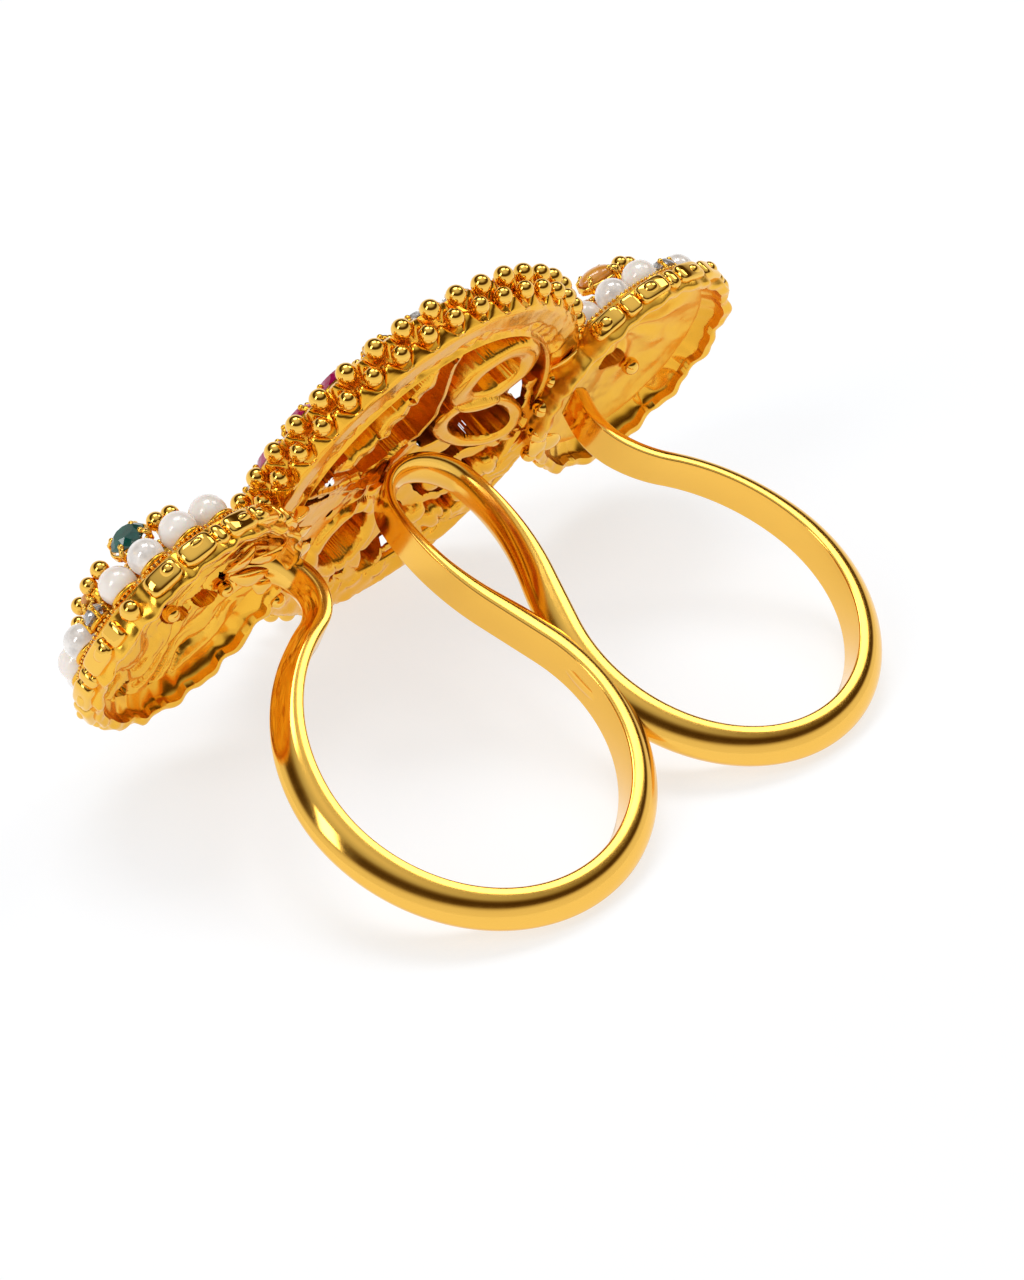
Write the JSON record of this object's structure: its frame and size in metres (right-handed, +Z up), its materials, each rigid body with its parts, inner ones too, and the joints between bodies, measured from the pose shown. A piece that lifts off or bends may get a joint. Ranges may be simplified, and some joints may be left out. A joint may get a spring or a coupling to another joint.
{
  "type": "two finger ring",
  "caption": "Two finger ring: one bent band makes two finger loops and a teardrop between them, and carries three round domed plaques set with stones and pearls.",
  "frame": {"origin": "middle of the footprint's bounding box, on the floor that the ring rests on", "axes": "+X along the row of plaques and fingers, +Z up; the finger holes lean about 22 degrees from +Z, and the plaques' fronts face +Y"},
  "size_m": [0.0514, 0.0321, 0.0254],
  "materials": {
    "gold": "high polish, rich yellow gold colour",
    "pearl": "satin lustre, ivory white with a faint rose overtone",
    "crystal": "polished clear ball",
    "ruby": "polished magenta red",
    "emerald": "faceted, polished deep green",
    "orange_stone": "polished orange"
  },
  "bodies": {
    "root": {"ring_frame": "gold", "middle_ruby": "ruby", "left_emerald": "emerald", "left_orange_bead": "orange_stone", "right_orange_stone": "orange_stone", "left_pearl_1": "pearl", "left_pearl_2": "pearl", "left_crystal_1": "crystal", "left_pearl_3": "pearl", "left_crystal_2": "crystal", "left_crystal_3": "crystal", "left_pearl_4": "pearl", "left_crystal_4": "crystal", "left_pearl_5": "pearl", "left_pearl_6": "pearl", "left_crystal_5": "crystal", "right_pearl_1": "pearl", "right_crystal_1": "crystal", "right_pearl_2": "pearl", "right_crystal_2": "crystal", "right_crystal_3": "crystal", "right_pearl_3": "pearl", "right_crystal_4": "crystal", "right_pearl_4": "pearl", "right_pearl_5": "pearl", "right_crystal_5": "crystal", "right_pearl_6": "pearl"}
  },
  "joints": []
}
